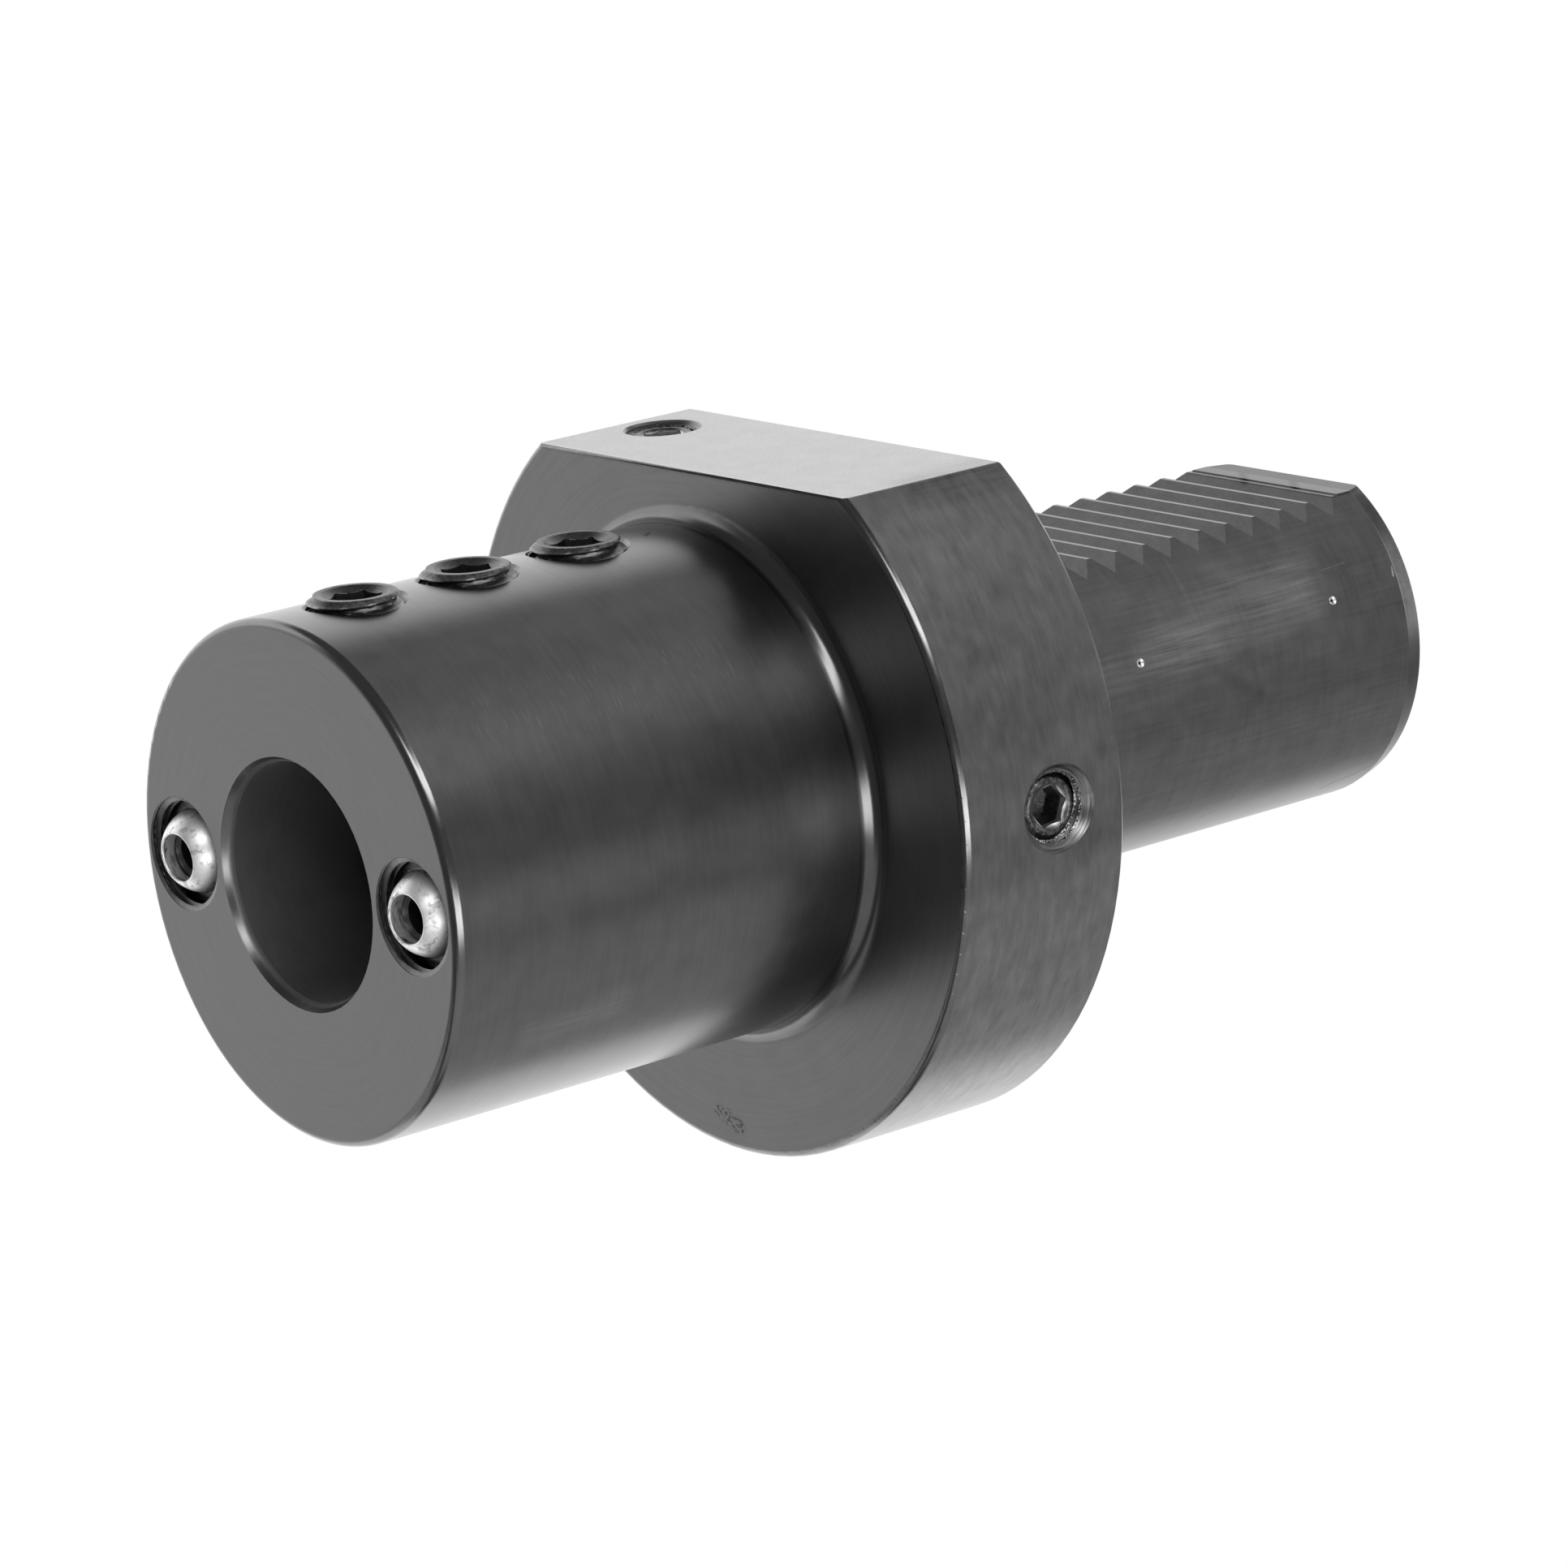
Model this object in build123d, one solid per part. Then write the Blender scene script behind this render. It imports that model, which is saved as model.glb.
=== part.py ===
from build123d import *
import math
import os

# Boring bar holder with a toothed round shank, in millimetres.
# The origin is the centre of the flange's contact face, on the shank's axis.
# +X runs along the axis to the shank's free end, so the nose with the bar bore points to -X.
# +Z goes up through the teeth, the flat and the clamp screws.

# Nose
nose_length = 75.0
nose_diameter = 54.5
nose_rim_radius = 1.0

# Bar bore, closed towards the shank: two reamed stretches with a relief groove after each
bore_diameter = 25.0
bore_mouth_diameter = 26.4
bore_mouth_length = 1.2
bore_front_depth = 51.0
bore_groove_length = 4.0
bore_rear_end = 1.0
bore_relief_end = 12.0
bore_relief_diameter = 25.6

# Flange with a flat ground on its top
flange_diameter = 83.0
flange_thickness = 22.0
flange_front_radius = 0.85
flange_rear_chamfer = 1.05
root_fillet = 2.0
flat_height = 32.6
flat_front_chamfer = 0.3
flat_rear_chamfer = 1.2

# Shank with its clamping teeth and the centre hole in its end
shank_diameter = 40.0
shank_length = 63.0
shank_lead_length = 2.5
shank_lead_drop = 0.67
shank_end_radius = 0.6
tooth_count = 10
tooth_pitch = 4.0
tooth_depth = 1.65
crest_width = 0.5
first_crest_x = 21.97
crest_height = 16.1
land_height = 16.22
land_notch_width = 0.35
land_notch_depth = 0.25
centre_hole_diameter = 8.5
centre_pilot_diameter = 4.0
centre_pilot_depth = 9.0
centre_hole_angle = 60.0

# Hardness test dents in the shank: position along the axis and angle above the -Y side
dent_places = [(22.1, 16.3), (50.6, 19.6)]
dent_diameter = 1.0
dent_angle = 120.0

# Seal ring in its groove in the shank, near the contact face
seal_section = 2.5
seal_groove_start = 8.0
seal_groove_play = 0.25

# Clamp screws from the nose's crown into the bar bore
clamp_screw_setback = {"front": 10.3, "middle": 24.35, "rear": 38.4}
clamp_screw_diameter = 10.0
clamp_screw_length = 12.0
clamp_screw_stand = 0.9
clamp_screw_top_diameter = 8.4
clamp_screw_point_diameter = 7.0
clamp_screw_key = 5.0
clamp_screw_socket_depth = 5.0
clamp_socket_mouth_diameter = 7.0
clamp_socket_mouth_depth = 0.6
clamp_hole_mouth_diameter = 11.2

# Coolant channels: inlet, drilling from the flat, cross drilling and one channel to each nozzle
channel_offset = 20.0
channel_diameter = 5.0
drilling_setback = 9.4
inlet_radius = 31.0
inlet_diameter = 5.0
inlet_chamfer = 0.4
drill_point_angle = 118.0

# Ball nozzles: each ball is held by a threaded ring and leans on a seal ring
nozzle_thread_diameter = 12.0
nozzle_mouth_diameter = 12.2
ball_diameter = 9.0
ball_setback = 2.6
ball_hole_diameter = 5.0
ball_hole_depth = 1.7
ball_bore_diameter = 4.2
ball_turn = {"right": 4.9, "left": 3.0}
ball_tilt = {"right": 1.3, "left": -2.4}
ring_setback = 1.7
ring_length = 4.3
ring_chamfer = 0.1
nozzle_seal_diameter = 6.8
nozzle_seal_section = 1.5

# Plug screws in the mouths of the cross drilling and of the drilling from the flat
plug_diameter = 8.0
plug_length = 5.0
plug_chamfer = 1.0
plug_key = 4.0
plug_socket_depth = 3.2
plug_socket_mouth_diameter = 5.0
plug_socket_mouth_depth = 0.35
side_plug_setback = 1.4
side_plug_turn = 8.0
side_mouth_diameter = 9.5
top_plug_setback = 0.5
top_plug_turn = 0.0
top_mouth_diameter = 8.6

# Clearances
screw_clearance = 0.05
thread_clearance = 0.03
ball_clearance = 0.05
seal_clearance = 0.05
cut_margin = 1.0

nose_radius = nose_diameter / 2
flange_radius = flange_diameter / 2
shank_radius = shank_diameter / 2
bore_radius = bore_diameter / 2
ball_radius = ball_diameter / 2
ball_x = ball_setback - nose_length
drilling_x = -drilling_setback
nozzle_y = {"right": -channel_offset, "left": channel_offset}

os.makedirs("parts", exist_ok=True)


def save(shape, node):
    """Writes one node's solid to its own file."""
    export_step(shape, f"parts/{node}.step")


def turned(points):
    """A solid turned about the shank's axis from (x, radius) points."""
    return revolve(make_face(Polyline(*points, close=True)), Axis.X)


def rod(start, direction, length, radius):
    """A round bar from a start point along a direction."""
    return extrude(Plane(origin=start, z_dir=direction) * Circle(radius), length)


def taper(start, direction, length, start_radius, end_radius):
    """A cone frustum from a start point along a direction."""
    plane = Plane(origin=start, z_dir=direction)
    middle = plane.origin + plane.z_dir * (length / 2)
    return Plane(origin=middle, z_dir=direction) * Cone(start_radius, end_radius, length)


def drill(start, direction, length, radius):
    """The space a drill leaves, with the cone of its point at the end."""
    plane = Plane(origin=start, z_dir=direction)
    point = radius / math.tan(math.radians(drill_point_angle / 2))
    tip = plane.origin + plane.z_dir * length
    return rod(start, direction, length, radius) + taper(tip, direction, point, radius, 0)


def mouth(centre, outward, mouth_radius, hole_radius):
    """The space of a 45 degree countersink around a hole's mouth."""
    plane = Plane(origin=centre, z_dir=outward)
    depth = mouth_radius - hole_radius
    bottom = plane.origin - plane.z_dir * depth
    return taper(bottom, outward, depth + cut_margin, hole_radius, mouth_radius + cut_margin)


def across(points):
    """A prism right across the holder along Y from (x, z) points."""
    side = Plane.XZ * make_face(Polyline(*points, close=True))
    return extrude(side, flange_diameter, both=True)


def rounded(outline, x, radius, size):
    """An outline with its corner at (x, radius) rounded."""
    return fillet(outline.vertices().sort_by_distance((x, radius, 0))[0], size)


def turned_blank():
    """Nose, flange and shank as one turned piece, before anything is cut into it."""
    end_radius = shank_radius - shank_lead_drop
    points = [
        (-nose_length, 0),
        (-nose_length, nose_radius),
        (-flange_thickness, nose_radius),
        (-flange_thickness, flange_radius),
        (-flange_rear_chamfer, flange_radius),
        (0, flange_radius - flange_rear_chamfer),
        (0, shank_radius),
        (shank_length - shank_lead_length, shank_radius),
        (shank_length, end_radius),
        (shank_length, 0),
    ]
    outline = make_face(Polyline(*points, close=True))
    outline = rounded(outline, -nose_length, nose_radius, nose_rim_radius)
    outline = rounded(outline, -flange_thickness, nose_radius, root_fillet)
    outline = rounded(outline, -flange_thickness, flange_radius, flange_front_radius)
    outline = rounded(outline, shank_length, end_radius, shank_end_radius)
    return revolve(outline, Axis.X)


def flat_cut():
    """What is ground off the flange's top, with the bevels of the flat's front and rear edges."""
    return across(
        [
            (-flange_thickness - cut_margin, flat_height - flat_front_chamfer - cut_margin),
            (-flange_thickness + flat_front_chamfer, flat_height),
            (-flat_rear_chamfer, flat_height),
            (cut_margin, flat_height - flat_rear_chamfer - cut_margin),
            (cut_margin, flange_radius + cut_margin),
            (-flange_thickness - cut_margin, flange_radius + cut_margin),
        ]
    )


def teeth_cut():
    """What is cut off the shank's top: a row of V gaps, and a land after the last tooth."""
    root = crest_height - tooth_depth
    top = shank_radius + cut_margin
    first_gap_x = first_crest_x - tooth_pitch / 2
    points = [(first_gap_x - (top - root), top)]
    for i in range(tooth_count):
        gap_x = first_gap_x + tooth_pitch * i
        crest_x = first_crest_x + tooth_pitch * i
        points.append((gap_x, root))
        points.append((crest_x - crest_width / 2, crest_height))
        points.append((crest_x + crest_width / 2, crest_height))
    last_x = points[-1][0]
    points.append((last_x + land_notch_width / 2, crest_height - land_notch_depth))
    points.append((last_x + land_notch_width, land_height))
    points.append((shank_length + cut_margin, land_height))
    points.append((shank_length + cut_margin, top))
    return across(points)


def seal_groove():
    """The groove in the shank that the seal ring lies in."""
    end_x = seal_groove_start + seal_section + 2 * seal_groove_play
    floor = shank_radius - seal_section - seal_clearance
    top = shank_radius + cut_margin
    return turned([(seal_groove_start, floor), (end_x, floor), (end_x, top), (seal_groove_start, top)])


def bar_bore():
    """The space of the bar bore, from the nose's face to the drilled cone at its end."""
    mouth_radius = bore_mouth_diameter / 2
    relief_radius = bore_relief_diameter / 2
    cone = relief_radius / math.tan(math.radians(drill_point_angle / 2))
    groove_start = bore_front_depth - nose_length
    groove_end = groove_start + bore_groove_length
    return turned(
        [
            (-nose_length - cut_margin, 0),
            (-nose_length - cut_margin, mouth_radius),
            (-nose_length, mouth_radius),
            (-nose_length + bore_mouth_length, bore_radius),
            (groove_start, bore_radius),
            (groove_start, relief_radius),
            (groove_end, relief_radius),
            (groove_end, bore_radius),
            (bore_rear_end, bore_radius),
            (bore_rear_end, relief_radius),
            (bore_relief_end, relief_radius),
            (bore_relief_end + cone, 0),
        ]
    )


def centre_hole():
    """The centre hole in the shank's end face."""
    cone_radius = centre_hole_diameter / 2
    pilot_radius = centre_pilot_diameter / 2
    cone = (cone_radius - pilot_radius) / math.tan(math.radians(centre_hole_angle / 2))
    face = (shank_length, 0, 0)
    hole = taper(face, (-1, 0, 0), cone, cone_radius, pilot_radius)
    return hole + drill(face, (-1, 0, 0), centre_pilot_depth, pilot_radius)


def dent(x, angle):
    """One cone pressed into the shank's side by the hardness test."""
    lean = math.radians(angle)
    outward = Vector(0, -math.cos(lean), math.sin(lean))
    depth = dent_diameter / 2 / math.tan(math.radians(dent_angle / 2))
    surface = Vector(x, 0, 0) + outward * shank_radius
    cone = taper(surface, outward * -1, depth, dent_diameter / 2, 0)
    return cone + rod(surface, outward, cut_margin, dent_diameter / 2)


def clamp_hole(x):
    """The space of one tapped hole from the nose's crown into the bar bore."""
    radius = clamp_screw_diameter / 2 + screw_clearance
    hole = rod((x, 0, 0), (0, 0, 1), nose_radius + cut_margin, radius)
    return hole + mouth((x, 0, nose_radius), (0, 0, 1), clamp_hole_mouth_diameter / 2, radius)


def nozzle_recess(y):
    """The space of a nozzle: the ring's tapped seat, the seal's seat and the channel behind them."""
    thread_radius = nozzle_thread_diameter / 2 + thread_clearance
    seal_radius = (nozzle_seal_diameter + nozzle_seal_section) / 2 + seal_clearance
    seal_end = ball_setback + seal_distance() + nozzle_seal_section / 2 + seal_clearance
    ring_end = ring_setback + ring_length + thread_clearance
    face = (-nose_length, y, 0)
    outside = (-nose_length - cut_margin, y, 0)
    cut = rod(outside, (1, 0, 0), ring_end + cut_margin, thread_radius)
    cut += mouth(face, (-1, 0, 0), nozzle_mouth_diameter / 2, thread_radius)
    cut += rod(outside, (1, 0, 0), seal_end + cut_margin, seal_radius)
    return cut + drill(outside, (1, 0, 0), nose_length - drilling_setback + cut_margin, channel_diameter / 2)


def plug_seat(place, outward, setback, mouth_diameter):
    """The space of a plug screw's tapped seat and its countersunk mouth."""
    plane = Plane(origin=place, z_dir=outward)
    outside = plane.origin + plane.z_dir * cut_margin
    radius = plug_diameter / 2 + thread_clearance
    depth = cut_margin + setback + plug_length + thread_clearance
    seat = rod(outside, plane.z_dir * -1, depth, radius)
    return seat + mouth(place, outward, mouth_diameter / 2, radius)


def cross_drilling():
    """The drilling from the -Y rim through the bar bore to the left channel, with its plug's seat."""
    place = (drilling_x, -flange_radius, 0)
    hole = drill(place, (0, 1, 0), flange_radius + channel_offset, channel_diameter / 2)
    return hole + plug_seat(place, (0, -1, 0), side_plug_setback, side_mouth_diameter)


def flat_drilling():
    """The drilling from the flat down to the left channel, with its plug's seat."""
    place = (drilling_x, channel_offset, flat_height)
    hole = drill(place, (0, 0, -1), flat_height, channel_diameter / 2)
    return hole + plug_seat(place, (0, 0, 1), top_plug_setback, top_mouth_diameter)


def coolant_inlet():
    """The inlet from the contact face to the drilling from the flat."""
    height = math.sqrt(inlet_radius**2 - channel_offset**2)
    radius = inlet_diameter / 2
    hole = rod((drilling_x, channel_offset, height), (1, 0, 0), drilling_setback + cut_margin, radius)
    return hole + mouth((0, channel_offset, height), (1, 0, 0), radius + inlet_chamfer, radius)


def holder_body():
    """The steel body, turned, toothed, bored, drilled and ground from one piece."""
    body = turned_blank() - flat_cut() - teeth_cut() - seal_groove() - bar_bore() - centre_hole()
    for x, angle in dent_places:
        body -= dent(x, angle)
    for setback in clamp_screw_setback.values():
        body -= clamp_hole(setback - nose_length)
    for y in nozzle_y.values():
        body -= nozzle_recess(y)
    return body - cross_drilling() - flat_drilling() - coolant_inlet()


def socketed(screw, face, outward, key, depth, mouth_diameter, mouth_depth, turn):
    """A screw with a hexagon socket, a cone at the socket's mouth and another at its floor."""
    plane = Plane(origin=face, z_dir=outward)
    inward = plane.z_dir * -1
    floor = plane.origin + inward * depth
    screw -= extrude(plane * RegularPolygon(key / math.sqrt(3), 6, rotation=turn), -depth)
    screw -= taper(floor, inward, key / 4, key / 2, 0)
    return screw - taper(face, inward, mouth_depth, mouth_diameter / 2, key / 2)


def clamp_screw(x):
    """A flat-pointed set screw that stands a little out of the nose's crown."""
    top = nose_radius + clamp_screw_stand
    radius = clamp_screw_diameter / 2
    top_bevel = radius - clamp_screw_top_diameter / 2
    point_bevel = radius - clamp_screw_point_diameter / 2
    shoulder = (x, 0, top - top_bevel)
    shaft_length = clamp_screw_length - top_bevel - point_bevel
    point = (x, 0, top - top_bevel - shaft_length)
    screw = rod(shoulder, (0, 0, -1), shaft_length, radius)
    screw += taper(shoulder, (0, 0, 1), top_bevel, radius, radius - top_bevel)
    screw += taper(point, (0, 0, -1), point_bevel, radius, radius - point_bevel)
    return socketed(
        screw,
        (x, 0, top),
        (0, 0, 1),
        clamp_screw_key,
        clamp_screw_socket_depth,
        clamp_socket_mouth_diameter,
        clamp_socket_mouth_depth,
        0,
    )


def plug_screw(place, outward, setback, turn):
    """A short plug screw with a hexagon socket, sunk by its setback below the given place."""
    plane = Plane(origin=place, z_dir=outward)
    inward = plane.z_dir * -1
    face = plane.origin + inward * setback
    shoulder = face + inward * plug_chamfer
    radius = plug_diameter / 2
    plug = rod(shoulder, inward, plug_length - plug_chamfer, radius)
    plug += taper(shoulder, outward, plug_chamfer, radius, radius - plug_chamfer)
    return socketed(
        plug,
        face,
        outward,
        plug_key,
        plug_socket_depth,
        plug_socket_mouth_diameter,
        plug_socket_mouth_depth,
        turn,
    )


def nozzle_ball(side):
    """A ball with a stepped through hole, turned to where its jet points."""
    hole_radius = ball_hole_diameter / 2
    rear_radius = ball_bore_diameter / 2
    front = -math.sqrt(ball_radius**2 - hole_radius**2)
    rear = math.sqrt(ball_radius**2 - rear_radius**2)
    step = front + ball_hole_depth
    outline = ThreePointArc((rear, rear_radius), (0, ball_radius), (front, hole_radius))
    outline += Polyline(
        (front, hole_radius), (step, hole_radius), (step, rear_radius), (rear, rear_radius)
    )
    ball = revolve(make_face(outline), Axis.X)
    aimed = Rot(0, 0, ball_turn[side]) * Rot(0, ball_tilt[side], 0)
    return Pos(ball_x, nozzle_y[side], 0) * aimed * ball


def nozzle_ring(y):
    """The threaded ring whose round seat holds a ball from the front."""
    front = ring_setback - nose_length
    radius = nozzle_thread_diameter / 2
    seat_radius = ball_radius + ball_clearance
    ring = rod((front + ring_chamfer, y, 0), (1, 0, 0), ring_length - ring_chamfer, radius)
    ring += taper((front + ring_chamfer, y, 0), (-1, 0, 0), ring_chamfer, radius, radius - ring_chamfer)
    ring -= rod((ball_x, y, 0), (1, 0, 0), ring_length, seat_radius)
    return ring - Pos(ball_x, y, 0) * Sphere(seat_radius)


def seal_distance():
    """How far behind a ball's centre its seal ring lies, just clear of the ball."""
    reach = ball_radius + nozzle_seal_section / 2 + seal_clearance
    return math.sqrt(reach**2 - (nozzle_seal_diameter / 2) ** 2)


def nozzle_seal(y):
    """The rubber ring behind a ball."""
    plane = Plane(origin=(ball_x + seal_distance(), y, 0), z_dir=(1, 0, 0))
    return plane * Torus(nozzle_seal_diameter / 2, nozzle_seal_section / 2)


def shank_seal():
    """The rubber ring in the shank's groove, flush with the shank."""
    middle = seal_groove_start + seal_groove_play + seal_section / 2
    plane = Plane(origin=(middle, 0, 0), z_dir=(1, 0, 0))
    return plane * Torus(shank_radius - seal_section / 2, seal_section / 2)


save(holder_body(), "holder_body")
save(shank_seal(), "shank_seal_ring")
for name, setback in clamp_screw_setback.items():
    save(clamp_screw(setback - nose_length), f"clamp_screw_{name}")
for name, y in nozzle_y.items():
    save(nozzle_ball(name), f"nozzle_ball_{name}")
    save(nozzle_ring(y), f"nozzle_ring_{name}")
    save(nozzle_seal(y), f"nozzle_seal_{name}")
side_place = (drilling_x, -flange_radius, 0)
top_place = (drilling_x, channel_offset, flat_height)
save(plug_screw(side_place, (0, -1, 0), side_plug_setback, side_plug_turn), "side_plug_screw")
save(plug_screw(top_place, (0, 0, 1), top_plug_setback, top_plug_turn), "top_plug_screw")
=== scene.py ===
# %% [markdown]
# # A boring bar holder, dressed for its portrait
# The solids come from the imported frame, in metres, and they never move. This script gives them
# their steel, cuts the threads that can be seen, and sets up the studio and the camera.

import math

import bmesh
import bpy
import numpy as np
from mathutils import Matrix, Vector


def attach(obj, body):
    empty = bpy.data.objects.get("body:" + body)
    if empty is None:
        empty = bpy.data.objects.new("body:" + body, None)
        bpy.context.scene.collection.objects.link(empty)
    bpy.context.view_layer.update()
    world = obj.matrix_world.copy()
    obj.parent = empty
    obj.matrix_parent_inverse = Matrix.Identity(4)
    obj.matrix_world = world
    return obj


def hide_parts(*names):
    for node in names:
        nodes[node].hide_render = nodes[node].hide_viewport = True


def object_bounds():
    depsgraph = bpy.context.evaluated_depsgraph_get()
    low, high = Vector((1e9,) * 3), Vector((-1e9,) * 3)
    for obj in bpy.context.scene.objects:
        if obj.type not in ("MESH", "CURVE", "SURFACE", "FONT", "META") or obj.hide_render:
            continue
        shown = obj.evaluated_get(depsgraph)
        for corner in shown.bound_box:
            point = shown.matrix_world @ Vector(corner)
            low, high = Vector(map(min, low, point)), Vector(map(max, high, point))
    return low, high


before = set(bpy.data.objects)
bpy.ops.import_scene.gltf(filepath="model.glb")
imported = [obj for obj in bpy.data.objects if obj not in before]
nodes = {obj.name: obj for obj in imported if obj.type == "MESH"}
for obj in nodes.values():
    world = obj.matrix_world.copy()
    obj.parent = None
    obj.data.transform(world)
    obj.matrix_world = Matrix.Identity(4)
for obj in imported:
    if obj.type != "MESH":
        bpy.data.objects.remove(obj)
cad_low, cad_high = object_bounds()
print("CAD box in mm:", [round(v * 1000, 1) for v in (*cad_low, *cad_high)])

# %% [markdown]
# ## The camera
# The photograph was taken with a long lens, from the nose's side and a little above. The camera
# stands where a pinhole camera has to stand for the holder's rims, flat and teeth to fall where the
# photograph shows them. It is turned by three angles: round the holder, up, and a small roll. They
# could be set by eye, but they were fitted to the holder's edges, so that pictures can be compared.

# %% Camera
AZIMUTH, ELEVATION, ROLL = math.radians(-37.857), math.radians(14.303), math.radians(-4.323)
PLACE = (-0.44125, -0.55205, 0.17507)
SENSOR_MM = 36.0
FOCAL_PIXELS, PHOTO_PIXELS = 8394.194, 1932


def camera_axes(azimuth, elevation, roll):
    """Right, up and back of a camera: back points from the holder to the camera, and right and up
    are turned about it by the roll."""
    back = np.array(
        [
            math.sin(azimuth) * math.cos(elevation),
            -math.cos(azimuth) * math.cos(elevation),
            math.sin(elevation),
        ]
    )
    level = np.array([math.cos(azimuth), math.sin(azimuth), 0.0])
    up = np.cross(back, level)
    right = math.cos(roll) * level + math.sin(roll) * up
    return right, np.cross(back, right), back


camera_data = bpy.data.cameras.new("camera")
camera_data.sensor_width = SENSOR_MM
camera_data.lens = SENSOR_MM * FOCAL_PIXELS / PHOTO_PIXELS
camera = bpy.data.objects.new("camera", camera_data)
bpy.context.scene.collection.objects.link(camera)
matrix = np.eye(4)
matrix[:3, :3] = np.array(camera_axes(AZIMUTH, ELEVATION, ROLL)).T
matrix[:3, 3] = PLACE
camera.matrix_world = matrix.T
bpy.context.scene.camera = camera
bpy.context.scene.view_settings.view_transform = "Standard"
print("focal length in mm:", round(camera_data.lens, 1))

# %% [markdown]
# ## Shader maths in Python
# A material's pattern is a sum of simple steps, and wiring each one by hand hides what it says.
# This class wraps one socket, so that an expression on it adds the Math nodes, and one method adds
# any other node.


# %% One socket, with operators
class Signal:
    """A socket of a node tree. Python's operators on it add Math nodes."""

    def __init__(self, tree, socket):
        self.tree = tree
        self.socket = socket

    def node(self, kind, inputs, output=0, **settings):
        """Adds a node of any kind: its settings, then values or links for its inputs."""
        made = self.tree.nodes.new(kind)
        for name, value in settings.items():
            setattr(made, name, value)
        for name, value in inputs.items():
            socket = made.inputs[name]
            if isinstance(value, Signal):
                self.tree.links.new(value.socket, socket)
            else:
                socket.default_value = value
        return Signal(self.tree, made.outputs[output])

    def math(self, operation, *others, clamp=False):
        """A Math node with this socket first."""
        values = dict(enumerate((self, *others)))
        return self.node("ShaderNodeMath", values, operation=operation, use_clamp=clamp)

    def __add__(self, other):
        return self.math("ADD", other)

    __radd__ = __add__

    def __mul__(self, other):
        return self.math("MULTIPLY", other)

    __rmul__ = __mul__

    def __sub__(self, other):
        return self.math("SUBTRACT", other)

    def __rsub__(self, other):
        return self.node("ShaderNodeMath", {0: other, 1: self}, operation="SUBTRACT")

    def __truediv__(self, other):
        return self.math("DIVIDE", other)

    def __abs__(self):
        return self.math("ABSOLUTE")

    def rise(self, low, high):
        """0 below low, 1 above high, and a smooth step between."""
        inputs = {"Value": self, "From Min": low, "From Max": high}
        return self.node("ShaderNodeMapRange", inputs, interpolation_type="SMOOTHSTEP")

    def below(self, limit, soft):
        """1 below the limit and 0 above, with a soft edge that is half on each side of it."""
        return 1 - self.rise(limit - soft / 2, limit + soft / 2)

    def band(self, low, high, soft):
        """1 between low and high, 0 outside, with such an edge at both."""
        return self.rise(low - soft / 2, low + soft / 2) * self.below(high, soft)

    def mix(self, zero, one):
        """The value zero where this is 0, and the value one where it is 1."""
        return zero + self * (one - zero)


print("signals ready")


# %% Vectors, noise and the two ends of a tree
def vector(x, y, z):
    """Three signals or numbers as one vector."""
    some = next(v for v in (x, y, z) if isinstance(v, Signal))
    return some.node("ShaderNodeCombineXYZ", {"X": x, "Y": y, "Z": z})


def split(signal):
    """A vector's three parts."""
    parts = signal.node("ShaderNodeSeparateXYZ", {"Vector": signal}).socket.node
    return [Signal(signal.tree, socket) for socket in parts.outputs]


def noise(place, scale, detail=2.0, roughness=0.5):
    """A noise pattern of about 0 to 1 at a place."""
    inputs = {"Vector": place, "Scale": scale, "Detail": detail, "Roughness": roughness}
    return place.node("ShaderNodeTexNoise", inputs)


def new_tree(owner):
    """An empty node tree for a material or world."""
    owner.use_nodes = True
    owner.node_tree.nodes.clear()
    return owner.node_tree


def start(tree, kind, output):
    """One output of a new node that needs no inputs."""
    return Signal(tree, tree.nodes.new(kind).outputs[output])


def as_colour(grey):
    """A grey as a colour."""
    return grey.node("ShaderNodeCombineColor", {"Red": grey, "Green": grey, "Blue": grey})


def show(shader, kind="ShaderNodeOutputMaterial"):
    """Links a shader to its tree's output."""
    output = shader.tree.nodes.new(kind)
    shader.tree.links.new(shader.socket, output.inputs["Surface"])


print("shader helpers ready")

# %% [markdown]
# ## The studio
# Dark steel shows what stands around it, so the studio is most of the picture. A real one has
# panels of white cloth, soft boxes with lamps in them and dark room between. Lamp objects could
# stand for them, but a panel painted on the world by its direction gives the same reflections with
# no noise, and each is one line of numbers: where it stands, how wide and high it is, and how
# bright. What the camera itself sees is plain white.

# %% World
# Each panel has an azimuth and a half width, a lowest and a highest elevation and the softness of
# its edges, all in degrees, and a strength.
STUDIO_FILL = 0.14
PANELS = {
    "white sweep on the left": (76, 58, -75, 41, 14, 1.55),
    "pale table": (0, 168, -77, -25, 14, 0.62),
    "soft box above the camera": (-104, 45, 34, 51, 8, 5.16),
    "soft box below the camera": (-100, 35, -19, -3, 8, 4.98),
    "window on the right": (-17, 18, -6, 21, 10, 3.62),
    "pale ceiling on the right": (-25, 53, 38, 59, 14, 0.62),
}


def panel(direction, azimuth, half_width, low, high, soft, strength):
    """A soft-edged panel of light: a band of azimuths times a band of elevations, in degrees."""
    turn = math.radians(azimuth)
    x, y, z = split(direction)
    ahead = x * math.cos(turn) + y * math.sin(turn)
    aside = y * math.cos(turn) - x * math.sin(turn)
    across = abs(aside.math("ARCTAN2", ahead)) * math.degrees(1)
    height = z.math("ARCSINE") * math.degrees(1)
    return across.below(half_width, soft) * height.band(low, high, soft) * strength


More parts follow.
